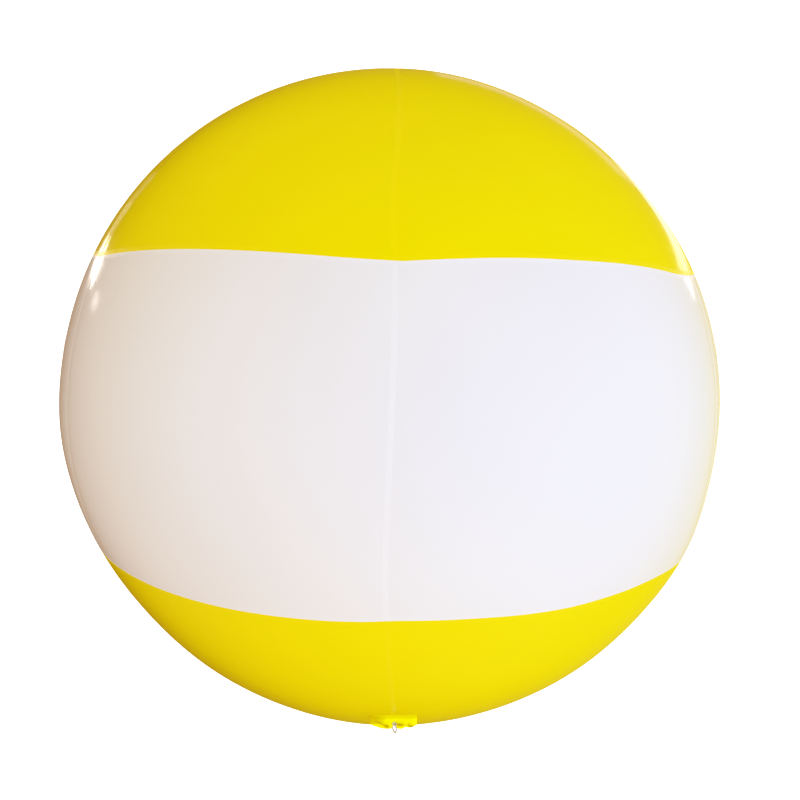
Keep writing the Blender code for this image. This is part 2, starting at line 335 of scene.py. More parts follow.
# Camera, fitted to both edges of the band
CAMERA_DISTANCE = 2.75
CAMERA_AZIMUTH = radians(-1.66)
CAMERA_ELEVATION = radians(7.4)
CAMERA_ROLL = radians(0.5)
CAMERA_SENSOR = 36.0
CAMERA_LENS = 37.92
CAMERA_SHIFT = (0.01275, -0.0039)
CAMERA_CLIP = (0.05, 400.0)

# Windows that show in the gloss, as the balloon sees them: azimuth from the camera's side,
# elevation, width, height and tilt in degrees, and how bright they are
WINDOW_DISTANCE = 42.0
WINDOWS = {
    "left_window": (-138.3, 11.4, 10.0, 4.0, 0.0, (5.50, 5.40, 5.20)),
    "left_pane": (-124.3, 10.8, 4.4, 2.4, 0.0, (2.30, 2.25, 2.18)),
    "left_frame": (-145.3, 14.3, 2.2, 5.5, 33.0, (1.20, 1.18, 1.14)),
    "left_corner": (-148.3, 18.5, 2.5, 4.0, 33.0, (0.50, 0.49, 0.47)),
    "top_window": (162.0, 24.5, 24.0, 7.5, 22.0, (0.26, 0.22, 0.38)),
    "right_window": (147.0, 11.4, 26.0, 6.0, 0.0, (1.15, 1.10, 1.50)),
}

# The room round the balloon. Glows spread evenly over a sphere stand for it, and each has the
# colour of the part of the room that it falls in, or else the room's own. A part: azimuth
# and elevation seen from the camera's side, reach in degrees, colour.
SPIRAL_TURN = pi * (3.0 - sqrt(5.0))

# What lights the matt part of the surfaces
SOFT_GLOWS = 14
SOFT_SHARPNESS = 2.0
SOFT_ROOM = (0.50, 0.48, 0.45)
SOFT_PARTS = {
    "bright_window": (60, 10, 15, (0.55, 0.70, 0.75)),
    "cool_floor_in_front": (25, -30, 15, (0.45, 0.55, 1.10)),
    "warm_wall_in_front": (-25, -5, 15, (0.55, 0.60, 0.15)),
    "ceiling_in_front": (5, 40, 15, (0.50, 0.45, 0.60)),
    "dim_wall_on_the_left": (-80, 20, 15, (0.15, 0.0, 0.0)),
    "dim_ceiling": (90, 70, 15, (0.15, 0.0, 0.0)),
    "brown_floor_left": (-60, -50, 15, (0.30, 0.10, 0.0)),
    "brown_floor_below": (80, -70, 15, (0.40, 0.20, 0.0)),
}

# What shows in the gloss
GLOSS_GLOWS = 22
GLOSS_SHARPNESS = 6.0
GLOSS_ROOM = (0.50, 0.45, 0.0)
GLOSS_PARTS = {
    "cool_panel_on_the_left": (-60, -10, 15, (0.65, 0.80, 1.0)),
    "grey_wall_in_front": (-5, 0, 32, (0.40, 0.45, 0.50)),
    "ceiling_in_front": (5, 50, 15, (0.55, 0.70, 0.35)),
    "floor_right": (45, -45, 15, (0.55, 0.70, 0.15)),
    "dark_corner_left": (-130, -20, 60, (0.15, 0.05, 0.0)),
    "dark_ceiling_behind": (120, 60, 30, (0.30, 0.20, 0.0)),
    "doorway_behind": (165, 0, 15, (0.65, 0.50, 0.10)),
}

# Domes of soft light, backdrop and floor, each a ball or disc round the scene
SOFT_DOME_RADIUS = 45.0
GLOSS_DOME_RADIUS = 46.0
DOME_SUBDIVISIONS = 5
BACKDROP_RADIUS = 58.0
BACKDROP_SUBDIVISIONS = 4
FLOOR_RADIUS = 60.0
FLOOR_SEGMENTS = 96
FLOOR_LEVEL = -3.2
STAGE_WHITE = (1.0, 1.0, 1.0)
STAGE_PALE = (0.9, 0.9, 0.9)


def smooth(low, high, value):
    """Smooth step of an array from 0 at low to 1 at high."""
    t = np.clip((value - low) / (high - low), 0.0, 1.0)
    return t * t * (3.0 - 2.0 * t)


def between(value, start, full, fading, end):
    """A fade: 0 up to start, 1 from full to fading, 0 from end on."""
    return smooth(start, full, value) * smooth(end, fading, value)


def plateau(value, width):
    """1 round zero, falling off steeply about a width from it."""
    return np.exp(-((value / width) ** 4))


def turns(count):
    """Angles of evenly spread steps round a circle."""
    return np.linspace(0.0, 2.0 * pi, count, endpoint=False)


def on_axis(radius, height, azimuth):
    """A point at a distance from the Z axis, a height and an azimuth."""
    return Vector((radius * sin(azimuth), -radius * cos(azimuth), height))


def round_points(reach, azimuth, height):
    """Points at arrays of distance from the Z axis, azimuth and height."""
    return np.stack((reach * np.sin(azimuth), -reach * np.cos(azimuth), height), axis=-1)


def seam_offset(seam, latitude):
    """How far a seam wanders to the right of its meridian, in metres."""
    if seam % GORES == 0:
        degrees = np.degrees(latitude)
        table = np.array(FRONT_WANDER)
        steps = np.linspace(-WANDER_SOFTENING, WANDER_SOFTENING, WANDER_SAMPLES)
        near = [np.interp(degrees + step, table[:, 0], table[:, 1]) for step in steps]
        return np.mean(near, axis=0)
    phase = SEAM_PHASE * seam
    waves = [size * np.sin(rate * latitude + share * phase) for size, rate, share in OTHER_WANDER]
    return sum(waves) * np.cos(latitude) ** 0.5


def seam_azimuth(seam, latitude):
    """Azimuth of a seam at a latitude, its wandering included."""
    cosine = np.maximum(np.cos(latitude), LEAST_SEAM_COSINE)
    return SPAN * seam + seam_offset(seam, latitude) / cosine


def seam_pull(azimuth):
    """1 on a seam, 0 halfway between two."""
    return 1.0 - np.abs(np.sin(GORES * azimuth / 2.0))


def waver(table, azimuth):
    """How far an edge wavers upwards at an azimuth, in metres."""
    table = np.array(table)
    degrees = np.degrees((azimuth + pi) % (2.0 * pi) - pi)
    return np.interp(degrees, table[:, 0], table[:, 1])


def upper_edge(azimuth):
    """Latitude of the band's upper edge."""
    height = UPPER_EDGE - UPPER_PULL * seam_pull(azimuth)
    height = height - UPPER_TILT * np.sin(azimuth) * np.sqrt(1.0 - height * height)
    return np.arcsin(height) + waver(UPPER_WAVER, azimuth) / RADIUS


def lower_edge(azimuth):
    """Latitude of the band's lower edge."""
    height = LOWER_EDGE + LOWER_PULL * seam_pull(azimuth)
    return np.arcsin(height) + waver(LOWER_WAVER, azimuth) / RADIUS


def seam_distance(azimuth, latitude):
    """Distance to the nearest seam in metres, and that seam's number."""
    nearest = np.zeros_like(azimuth)
    best = np.full_like(azimuth, np.inf)
    for seam in range(GORES):
        turn = azimuth - seam_azimuth(seam, latitude)
        turn = (turn + pi) % (2.0 * pi) - pi
        distance = np.abs(turn) * np.cos(latitude)
        closer = distance < best
        best = np.where(closer, distance, best)
        nearest = np.where(closer, seam, nearest)
    return best, nearest


def seam_weld(distance):
    """1 on a seam's weld, 0 beyond its lip, distance being metres from the seam."""
    return smooth(WELD_HALF + WELD_LIP / 2.0, WELD_HALF - WELD_LIP / 2.0, distance)


def lap(above):
    """1 where the yellow film laps over the band, above being metres past the edge."""
    return between(above, -EDGE_STEP, 0.0, EDGE_WELD, EDGE_WELD + EDGE_LIP)


def swell(azimuth, latitude):
    """Uneven fullness of the film at a place, in metres."""
    total = np.zeros_like(azimuth)
    for turn, height, width, amount in SWELLS:
        turn, height, width = radians(turn), radians(height), radians(width)
        towards = np.sin(latitude) * sin(height)
        towards = towards + np.cos(latitude) * cos(height) * np.cos(azimuth - turn)
        angle = np.arccos(np.clip(towards, -1.0, 1.0))
        total += amount * np.exp(-0.5 * (angle / width) ** 2)
    return total


def puckers(along, distance, seam):
    """Height of the puckers at places along a seam and at a distance from it."""
    ripple = np.zeros_like(along)
    for length, share, phase, sway, rate, sway_phase in PUCKER_WAVES:
        swaying = sway * np.sin(along * rate + sway_phase * seam)
        ripple += share * np.sin(along * 2.0 * pi / length + phase * seam + swaying)
    strength = 1.0 - PUCKER_LULL + PUCKER_LULL * np.sin(along * 3.7 + 1.9 * seam + 0.6)
    fade = smooth(0.0, PUCKER_START, distance) * np.exp(-((distance / PUCKER_WIDTH) ** 1.5))
    return PUCKER_HEIGHT * ripple * strength * fade


def surface_radius(azimuth, latitude):
    """Radius of the film: drawn in along the welds, with puckers across them."""
    distance, seam = seam_distance(azimuth, latitude)
    radius = RADIUS + swell(azimuth, latitude)
    off_pole = smooth(*POLE_STEP, np.abs(latitude))
    valley = (1.0 - smooth(0.0, VALLEY_WIDTH, distance)) ** 1.5
    radius -= VALLEY_DEPTH * valley * (VALLEY_AT_POLE + (1.0 - VALLEY_AT_POLE) * off_pole)
    radius += puckers(latitude * RADIUS, distance, seam)
    radius += WELD_RISE * seam_weld(distance)
    for edge, way in ((upper_edge(azimuth), 1.0), (lower_edge(azimuth), -1.0)):
        above = (latitude - edge) * way * RADIUS
        radius += WELD_RISE * lap(above)
        middle = np.abs(above - EDGE_WELD / 2.0)
        radius -= EDGE_VALLEY * (1.0 - smooth(0.0, EDGE_VALLEY_WIDTH, middle))
    return radius


def film_points(azimuth, latitude, lift=0.0):
    """Points of the film at arrays of azimuth and latitude."""
    radius = surface_radius(azimuth, latitude) + lift
    return round_points(radius * np.cos(latitude), azimuth, radius * np.sin(latitude))


def film_normals(azimuth, latitude):
    """Outward normals of the film there."""
    step = NORMAL_STEP
    wide = step / np.maximum(np.cos(latitude), LEAST_NORMAL_COSINE)
    east = film_points(azimuth + wide, latitude) - film_points(azimuth - wide, latitude)
    north = film_points(azimuth, latitude + step) - film_points(azimuth, latitude - step)
    normal = np.cross(east, north)
    return normal / np.linalg.norm(normal, axis=-1, keepdims=True)


def linked(name, data):
    """A new object in the scene."""
    thing = bpy.data.objects.new(name, data)
    bpy.context.scene.collection.objects.link(thing)
    return thing


def mesh_from(name, points, faces, material, normals=None, values=None):
    """An object from arrays, smooth shaded, with named values on its points."""
    mesh = bpy.data.meshes.new(name)
    mesh.from_pydata(points.reshape(-1, 3).tolist(), [], faces.tolist())
    for label, numbers in (values or {}).items():
        layer = mesh.attributes.new(label, "FLOAT", "POINT")
        layer.data.foreach_set("value", np.asarray(numbers, np.float32).ravel())
    mesh.shade_smooth()
    if normals is not None:
        mesh.normals_split_custom_set_from_vertices(normals.reshape(-1, 3).tolist())
    mesh.materials.append(material)
    return linked(name, mesh)


def object_from_bmesh(name, bm, material):
    """An object from a bmesh, which is used up."""
    mesh = bpy.data.meshes.new(name)
    bm.to_mesh(mesh)
    bm.free()
    mesh.materials.append(material)
    return linked(name, mesh)


def face_outwards(mesh, join=False):
    """Turns a mesh's faces outwards, its points that coincide joined first if asked."""
    bm = bmesh.new()
    bm.from_mesh(mesh)
    if join:
        bmesh.ops.remove_doubles(bm, verts=bm.verts[:], dist=SAME_PLACE)
    bmesh.ops.recalc_face_normals(bm, faces=bm.faces[:])
    bm.to_mesh(mesh)
    bm.free()


def grid_faces(rows, columns, closed=False):
    """Faces of a grid of vertices stored row by row, closed round its columns or not."""
    index = np.arange(rows * columns).reshape(rows, columns)
    if closed:
        index = np.concatenate((index, index[:, :1]), axis=1)
    corners = (index[:-1, :-1], index[:-1, 1:], index[1:, 1:], index[1:, :-1])
    return np.stack(corners, axis=-1).reshape(-1, 4)


def sheet_faces(rows, columns):
    """Faces of a thick sheet: a front grid, a back grid and the rim between them."""
    faces = grid_faces(rows, columns)
    count = rows * columns
    index = np.arange(count).reshape(rows, columns)
    edge = np.concatenate((index[0], index[1:, -1], index[-1, -2::-1], index[-2:0:-1, 0]))
    after = np.roll(edge, -1)
    rim = np.stack((edge, edge + count, after + count, after), axis=-1)
    return np.concatenate((faces[:, ::-1], faces + count, rim))


def sheet_grid(rows, columns):
    """Places of a sheet's points across it, from -1 to 1, and down it, from 0 to 1."""
    return np.meshgrid(np.linspace(-1.0, 1.0, columns), np.linspace(0.0, 1.0, rows))


def column_shares(half):
    """Shares of a gore's width for its columns, when half of it is that many metres."""
    first = SEAM_COLUMNS[-1]
    ramp = (np.arange(1, OPEN_COLUMNS + 1) / OPEN_COLUMNS) ** COLUMN_GROWTH
    left = np.concatenate((SEAM_COLUMNS, first + (half - first) * ramp)) / half / 2.0
    return np.concatenate((left, 1.0 - left[-2::-1]))


def panel_rows(zone, azimuth):
    """Latitudes of a zone's rows at an array of azimuths: dense at the welded edges."""
    upper, lower = upper_edge(azimuth), lower_edge(azimuth)
    tip = np.full_like(azimuth, TIP_LATITUDE)
    weld = EDGE_WELD / RADIUS
    lip = EDGE_LIP / RADIUS
    marks = {
        "upper": (upper, upper + weld, upper + weld + lip, tip),
        "band": (lower, lower + lip, upper - lip, upper),
        "lower": (-tip, lower - weld - lip, lower - weld, lower),
    }[zone]
    rows = []
    for low, high, count in zip(marks, marks[1:], ZONE_ROWS[zone]):
        rows.extend(low + (high - low) * i / count for i in range(count))
    return np.array(rows + [marks[-1]])


def seam_column(zone, seam, rows):
    """Azimuths of a panel's rows where they meet a seam, the same from both sides."""
    latitude = rows
    for _ in range(SEAM_ROUNDS):
        azimuth = seam_azimuth(seam % GORES, latitude) + 2.0 * pi * (seam // GORES)
        latitude = np.diagonal(panel_rows(zone, azimuth))
    return azimuth


def panel_weld(zone, azimuth, latitude, distance):
    """1 on the welds of a panel: at its seams and along the band's edge."""
    weld = seam_weld(distance)
    if zone == "band":
        from_edge = np.minimum(upper_edge(azimuth) - latitude, latitude - lower_edge(azimuth))
        return np.maximum(weld, smooth(*BAND_RIM, from_edge * RADIUS))
    edge, way = (upper_edge, 1.0) if zone == "upper" else (lower_edge, -1.0)
    return np.maximum(weld, lap((latitude - edge(azimuth)) * way * RADIUS))


def film_panel(zone, gore, material):
    """One welded panel of the film, from seam to seam."""
    rows = panel_rows(zone, np.full(1, SPAN * (gore + 0.5)))[:, 0]
    share = np.array([column_shares(0.5 * SPAN * cos(latitude)) for latitude in rows])
    west = seam_column(zone, gore, rows)[:, None]
    east = seam_column(zone, gore + 1, rows)[:, None]
    azimuth = west + (east - west) * share
    columns = [np.diagonal(panel_rows(zone, azimuth[:, i])) for i in range(share.shape[1])]
    latitude = np.stack(columns, axis=1)
    distance, _ = seam_distance(azimuth, latitude)
    values = {
        "weld": panel_weld(zone, azimuth, latitude, distance),
        "near_seam": np.exp(-distance / STRAIN_WIDTH),
    }
    points = film_points(azimuth, latitude)
    normals = film_normals(azimuth, latitude)
    faces = grid_faces(*azimuth.shape)
    return mesh_from(f"{zone}_film_{gore + 1}", points, faces, material, normals, values)


def polar_cap(name, side, hole, material):
    """Film disc welded over the gores' tips, with a welded ring and radial puckers."""
    even = np.linspace(hole, CAP_EVEN_RADIUS, CAP_EVEN_ROWS)
    radii = np.array((*even, *CAP_RING_ROWS, CAP_RADIUS - CAP_LIP, CAP_RADIUS))
    rho, turn = np.meshgrid(radii, turns(CAP_STEPS), indexing="ij")
    pucker = np.sin(CAP_PUCKERS * turn + 1.5 * np.sin(5.0 * turn)) * between(rho, *CAP_PUCKER_FADE)
    ring = between(rho, *CAP_RING)
    lift = CAP_RISE + CAP_PUCKER_HEIGHT * pucker - CAP_RING_DEPTH * ring
    lift = np.where(rho > CAP_RADIUS - CAP_LIP / 2.0, 0.0, lift)
    reach = RADIUS + lift
    height = side * np.sqrt(np.maximum(reach * reach - rho * rho, 0.0))
    if side < 0.0:
        seat = smooth(*SEAT_SLOPE, rho)
        height = height * (1.0 - seat) + SEAT_LEVEL * seat
    points = round_points(rho, turn, height)
    faces = grid_faces(*rho.shape, closed=True)
    if side > 0.0:
        faces = faces[:, ::-1]
    values = {"weld": ring, "near_seam": smooth(*CAP_STRAIN, rho)}
    return mesh_from(name, points, faces, material, None, values)


def turned_piece(name, profile, steps, material):
    """A piece turned about Z from (radius, height) points, from the axis or a ring."""
    radius, height = np.array(profile).T
    rho, turn = np.meshgrid(radius, turns(steps), indexing="ij")
    points = round_points(rho, turn, np.repeat(height[:, None], steps, axis=1))
    piece = mesh_from(name, points, grid_faces(*rho.shape, closed=True), material)
    face_outwards(piece.data, join=True)
    piece.data.set_sharp_from_angle(angle=SHARP_ANGLE)
    return piece


def outward_frame(azimuth, centre):
    """A placing whose Z points outwards and Y up, at an azimuth."""
    outward = on_axis(1.0, 0.0, azimuth)
    up = Vector((0.0, 0.0, 1.0))
    turn = Matrix((up.cross(outward), up, outward)).transposed()
    return Matrix.Translation(centre) @ turn.to_4x4()


def set_in_place(piece, placing):
    """Moves a piece's mesh, so that its object stays at the origin."""
    piece.data.transform(placing)
    piece.data.update()


def flap_folds(across, down):
    """How far the flap's folds stand out: a roll along its top and sharp tucks under it."""
    total = FLAP_ROLL * between(down, *FLAP_ROLL_FADE) * (1.0 + 0.5 * np.sin(across * 5.0 + 0.4))
    for place, level, wide, tall, lean, depth in FLAP_TUCKS:
        off = down - level - lean * (across - place)
        along = plateau(across - place, wide)
        step = smooth(-TUCK_STEP * tall, TUCK_STEP * tall, off)
        total += depth * along * (smooth(-TUCK_TOP * tall, -TUCK_STEP * tall, off) - step)
        total -= TUCK_HOLLOW * depth * along * step * smooth(TUCK_FOOT * tall, tall, off)
    return total


def flap_reach(number, across, down, sideways):
    """How far the flap stands out: waves and folds, but calm round the eyelet."""
    calm = 1.0 - plateau(sideways, FLAP_CALM)
    wave = np.sin(across * 7.5 + 0.7 + number) + 0.6 * np.sin(across * 15.0 + 2.1 * number + 1.0)
    reach = FLAP_WAVE * wave * calm * down**1.3
    reach += flap_folds(across, down) * calm
    return np.maximum(reach, -FLAP_WAVE)


def flap_drop(number, across, sideways):
    """How far down the flap hangs: in lobes, with rounded ends, short behind the ring."""
    short = FLAP_ROUNDING * np.abs(across) ** 3.0
    short += FLAP_LEFT_CUT * smooth(*FLAP_LEFT_CUT_STEP, across)
    short += FLAP_RIGHT_CUT * between(across, *FLAP_RIGHT_CUT_FADE)
    drop = TAB_DROP * (1.0 - short)
    for notch, width in RING_NOTCHES:
        drop -= notch * plateau(sideways, width)
    fringe = np.sin(across * 9.0 + 1.3 * number) * smooth(*FLAP_FRINGE_STEP, np.abs(across))
    return drop + FLAP_FRINGE * fringe


def fold_shade(across, down):
    """1 in the depth of the flap's tucks, and a little shade on its left end."""
    total = FLAP_SHADE * smooth(*FLAP_SHADE_ACROSS, across) * smooth(*FLAP_SHADE_DOWN, down)
    for place, level, wide, tall, lean, _ in FLAP_TUCKS:
        off = (down - level - lean * (across - place)) / tall
        depth = plateau(across - place, wide) * np.exp(-((off - 0.25) ** 2))
        total = np.maximum(total, depth)
    return total


def tether_flap(number, azimuth, material):
    """The tab's crumpled flap of film, which hangs in front of its patch."""
    across, down = sheet_grid(*FLAP_GRID)
    sideways = across * TAB_WIDTH / 2.0 - FLAP_LEFT_END * smooth(*FLAP_LEFT_END_STEP, across)
    start = RADIUS * cos(TAB_LATITUDE)
    bulge = FLAP_BULGE * smooth(*FLAP_BULGE_STEP, down)
    radius = start + FLAP_GAP + bulge + flap_reach(number, across, down, sideways)
    level = RADIUS * sin(TAB_LATITUDE) + FLAP_RISE * (1.0 - smooth(*FLAP_RISE_STEP, down))
    level = level - flap_drop(number, across, sideways) * down
    turn = azimuth + sideways / start
    front = round_points(radius, turn, level)
    back = round_points(radius - FLAP_FILM, turn, level)
    shades = {
        "weld": between(down, *FLAP_HEM),
        "near_seam": np.ones_like(down),
        # Painted shade in the flap's tucks and on its left end
        "painted_tuck_shade": fold_shade(across, down),
        # Painted light: a lighter lemon tone on the flap's lower part, where it hangs facing the light
        "pale": smooth(*PAINTED_LIGHT_STEP, down - PAINTED_LIGHT_LEFT * smooth(*PAINTED_LIGHT_LEFT_STEP, across)),
    }
    values = {label: np.stack((shade, shade)) for label, shade in shades.items()}
    points = np.stack((front, back))
    faces = sheet_faces(*FLAP_GRID)
    flap = mesh_from(f"tether_flap_{number}", points, faces, material, None, values)
    face_outwards(flap.data)
    return flap


def weld_patch(number, azimuth, material):
    """The tab's base: a patch of film welded on the envelope under the flap."""
    across, down = sheet_grid(*PATCH_GRID)
    latitude = TAB_LATITUDE + (PATCH_TOP - PATCH_HEIGHT * down) / RADIUS
    half = TAB_WIDTH / 2.0 - PATCH_NARROWING * smooth(*PATCH_NARROWING_STEP, down)
    turn = azimuth + across * half / (RADIUS * np.cos(latitude))
    border = np.maximum(np.abs(across), np.abs(2.0 * down - 1.0))
    welded = between(border, *PATCH_WELD)
    lift = PATCH_FILM * smooth(*PATCH_EDGE_STEP, border) - PATCH_WELD_DEPTH * welded
    lift = np.where(border > PATCH_OUTLINE, -PATCH_SINK, lift)
    points = film_points(turn, latitude, lift)
    values = {"weld": welded, "near_seam": np.ones_like(welded)}
    faces = grid_faces(*PATCH_GRID)[:, ::-1]
    return mesh_from(f"tether_patch_{number}", points, faces, material, None, values)


def torus(name, major, minor, steps, material):
    """A ring of wire in its XY plane."""
    around, about = steps
    turn, tube = np.meshgrid(turns(around), turns(about), indexing="ij")
    reach = major + minor * np.cos(tube)
    points = np.stack((reach * np.cos(turn), reach * np.sin(turn), minor * np.sin(tube)), axis=-1)
    index = np.arange(around * about).reshape(around, about)
    ahead = np.roll(index, -1, axis=0)
    corners = (index, ahead, np.roll(ahead, -1, axis=1), np.roll(index, -1, axis=1))
    return mesh_from(name, points, np.stack(corners, axis=-1).reshape(-1, 4), material)


def ring_piece(number, azimuth, material):
    """The steel ring that hangs in the eyelet."""
    ring = torus(f"steel_ring_{number}", RING_RADIUS, RING_WIRE, RING_STEPS, material)
    turned = Matrix.Rotation(pi / 2.0 + RING_YAW, 4, "Y")
    set_in_place(ring, Matrix.Translation((0.0, -RING_RADIUS, 0.0)) @ turned)
    set_in_place(ring, outward_frame(azimuth, on_axis(EYELET_REACH, RING_LEVEL, azimuth)))
    return ring


def eyelet_piece(number, azimuth, material):
    """A rolled eyelet: a barrel with a curled flange on each side of the flap."""
    arc = np.linspace(*CURL_ARC, CURL_POINTS)
    rise = EYELET_HALF + CURL_RISE
    curl = [(CURL_RADIUS + CURL_WIDE * sin(a), rise + CURL_TALL * cos(a)) for a in arc]
    bore = [(EYELET_BORE, 0.0), (EYELET_BORE, EYELET_HALF)]
    barrel = [(EYELET_BARREL, EYELET_NECK), (EYELET_BARREL, 0.0)]
    side = bore + curl + barrel
    other = [(radius, -height) for radius, height in side[::-1]]
    profile = side + other[1:-1] + [side[0]]
    piece = turned_piece(f"rolled_eyelet_{number}", profile, EYELET_STEPS, material)
    set_in_place(piece, outward_frame(azimuth, on_axis(EYELET_REACH, EYELET_LEVEL, azimuth)))
    return piece


def set_input(tree, socket, value):
    """Links a socket to another one, or sets it. A colour is given without its alpha."""
    if isinstance(value, bpy.types.NodeSocket):
        tree.links.new(value, socket)
    elif socket.type == "RGBA":
        socket.default_value = (*value, 1.0)
    else:
        socket.default_value = value


def set_inputs(tree, node, inputs):
    """Sets or links several sockets of a node."""
    for key, value in inputs.items():
        set_input(tree, node.inputs[key], value)


def add(tree, kind, inputs=None, **settings):
    """Adds a node, with its settings and what its sockets hold or are linked to."""
    node = tree.nodes.new(kind)
    for key, value in settings.items():
        setattr(node, key, value)
    set_inputs(tree, node, inputs or {})
    return node


def mix_colour(tree, factor, first, second):
    """Mixes two colours by a factor."""
    node = add(tree, "ShaderNodeMix", data_type="RGBA")
    for index, value in ((0, factor), (6, first), (7, second)):
        set_input(tree, node.inputs[index], value)
    return node.outputs[2]


def maths(tree, operation, first, second=0.0):
    """One Math node's output."""
    return add(tree, "ShaderNodeMath", {0: first, 1: second}, operation=operation).outputs[0]


def spread(tree, value, low, high, to_low, to_high):
    """Maps a value from one range to another."""
    inputs = {"Value": value, "From Min": low, "From Max": high}
    inputs.update({"To Min": to_low, "To Max": to_high})
    return add(tree, "ShaderNodeMapRange", inputs).outputs["Result"]


def noise(tree, place, scale, detail=2.0, roughness=0.5):
    """A noise texture's value."""
    inputs = {"Vector": place, "Scale": scale, "Detail": detail, "Roughness": roughness}
    return add(tree, "ShaderNodeTexNoise", inputs).outputs["Fac"]


def object_place(tree):
    """The place on an object, in metres."""
    return add(tree, "ShaderNodeTexCoord").outputs["Object"]


def point_value(tree, name, output="Fac"):
    """A value or colour that the mesh's points hold under a name."""
    return add(tree, "ShaderNodeAttribute", attribute_name=name).outputs[output]


def relief(tree, place, scale, height):
    """Height of a fine relief of noise."""
    return maths(tree, "MULTIPLY", noise(tree, place, scale), height)


def bumped(tree, height):
    """The normal that a height in metres gives a surface."""
    inputs = {"Height": height, "Distance": 1.0, "Strength": 1.0}
    return add(tree, "ShaderNodeBump", inputs).outputs["Normal"]


def new_material(name):
    """A node material: itself, its tree and its Principled shader."""
    material = bpy.data.materials.new(name)
    material.use_nodes = True
    tree = material.node_tree
    return material, tree, tree.nodes["Principled BSDF"]


def film_tone(tree, place, weld, colour, cloud, weld_colour, painted_light_tone):
    """The film's colour: cloudy, stronger on the welds, and on a flap with painted light on its lower
    part and painted shade in its tucks.
    """
    clouds = spread(tree, noise(tree, place, *CLOUDS), 0.35, 0.65, 0.0, 1.0)
    tone = mix_colour(tree, clouds, colour, cloud)
    if painted_light_tone is not None:
        # Painted light: the flap's lower part gets a lighter lemon tone
        tone = mix_colour(tree, point_value(tree, "pale"), tone, painted_light_tone)
    tone = mix_colour(tree, maths(tree, "MULTIPLY", weld, WELD_TONE), tone, weld_colour)
    if painted_light_tone is not None:
        # Painted shade in the flap's tucks and on its left end
        tone = mix_colour(tree, point_value(tree, "painted_tuck_shade"), tone, PAINTED_FOLD_SHADE)
    return tone


def film_roughness(tree, place, weld):
    """The film's roughness: glossy, with handling marks and duller welds."""
    scuffs = noise(tree, place, *SCUFFS)
    marks = spread(tree, scuffs, 0.35, 0.75, 0.0, SCUFF_ROUGHNESS)
    rough = maths(tree, "ADD", FILM_ROUGHNESS, marks)
    return maths(tree, "ADD", rough, maths(tree, "MULTIPLY", weld, WELD_ROUGHNESS))


def film_relief(tree, place, weld):
    """The film's fine relief: embossed welds, faint ripples, strain at the seams, grain."""
    scale, height = EMBOSSING
    emboss = add(tree, "ShaderNodeTexChecker", {"Vector": place, "Scale": scale}).outputs["Fac"]
    press = maths(tree, "MULTIPLY", emboss, maths(tree, "MULTIPLY", weld, height))
    ripples = relief(tree, place, *FILM_RIPPLES)
    strain = maths(tree, "MULTIPLY", relief(tree, place, *SEAM_STRAIN), point_value(tree, "near_seam"))
    grain = relief(tree, place, *FILM_GRAIN)
    return maths(tree, "ADD", maths(tree, "ADD", press, ripples), maths(tree, "ADD", strain, grain))


def film_material(name, colour, cloud, weld_colour, tint, painted_light_tone=None):
    """Glossy welded film."""
    material, tree, shader = new_material(name)
    place = object_place(tree)
    weld = point_value(tree, "weld")
    looks = {
        "Base Color": film_tone(tree, place, weld, colour, cloud, weld_colour, painted_light_tone),
        "Roughness": film_roughness(tree, place, weld),
        "IOR": FILM_IOR,
        "Specular Tint": tint,
        "Normal": bumped(tree, film_relief(tree, place, weld)),
    }
    set_inputs(tree, shader, looks)
    return material


def steel_material():
    """Zinc-plated wire, pale and a little dull, with fine scratches."""
    material, tree, shader = new_material("plated_steel")
    place = object_place(tree)
    dull = spread(tree, noise(tree, place, *STEEL_BLOTCHES), 0.3, 0.7, 0.0, 1.0)
    looks = {
        "Base Color": mix_colour(tree, dull, *STEEL_TONES),
        "Roughness": spread(tree, dull, 0.0, 1.0, *STEEL_ROUGHNESS),
        "Metallic": STEEL_METALLIC,
        "Normal": bumped(tree, relief(tree, place, *WIRE_SCRATCHES)),
    }
    set_inputs(tree, shader, looks)
    return material


def plastic_material():
    """Moulded translucent-white plastic of the valve, with a fine spark-eroded grain."""
    material, tree, shader = new_material("valve_plastic_look")
    place = object_place(tree)
    blotch = spread(tree, noise(tree, place, *PLASTIC_BLOTCHES), 0.35, 0.65, 0.0, 1.0)
    looks = {
        "Base Color": mix_colour(tree, blotch, *PLASTIC_TONES),
        "Roughness": spread(tree, blotch, 0.0, 1.0, *PLASTIC_ROUGHNESS),
        "Normal": bumped(tree, relief(tree, place, *PLASTIC_GRAIN)),
    }
    set_inputs(tree, shader, looks)
    return material


def stage_material(name):
    """A white surface for the floor and the backdrop, with a faint unevenness."""
    material, tree, shader = new_material(name)
    blotch = noise(tree, object_place(tree), *STAGE_BLOTCHES)
    uneven = spread(tree, blotch, 0.3, 0.7, 0.985, 1.0)
    looks = {
        "Base Color": mix_colour(tree, uneven, STAGE_PALE, STAGE_WHITE),
        "Roughness": STAGE_ROUGHNESS,
        "Emission Color": STAGE_WHITE,
        "Emission Strength": 1.0,
    }
    set_inputs(tree, shader, looks)
    return material


def hide_from(thing, *rays):
    """Hides an object from kinds of ray: camera, diffuse, glossy, transmission, shadow."""
    for ray in rays:
        setattr(thing, f"visible_{ray}", False)


def seen_from_camera(azimuth, elevation, distance=1.0):
    """The place at degrees of azimuth and elevation, counted from the camera's side."""
    level = distance * cos(radians(elevation))
    height = distance * sin(radians(elevation))
    return on_axis(level, height, radians(azimuth) + CAMERA_AZIMUTH)


def looking_back(place, roll):
    """A placing at a place, that looks at the scene's centre."""
    turn = (-place).to_track_quat("-Z", "Y").to_matrix().to_4x4()
    return Matrix.Translation(place) @ turn @ Matrix.Rotation(roll, 4, "Z")


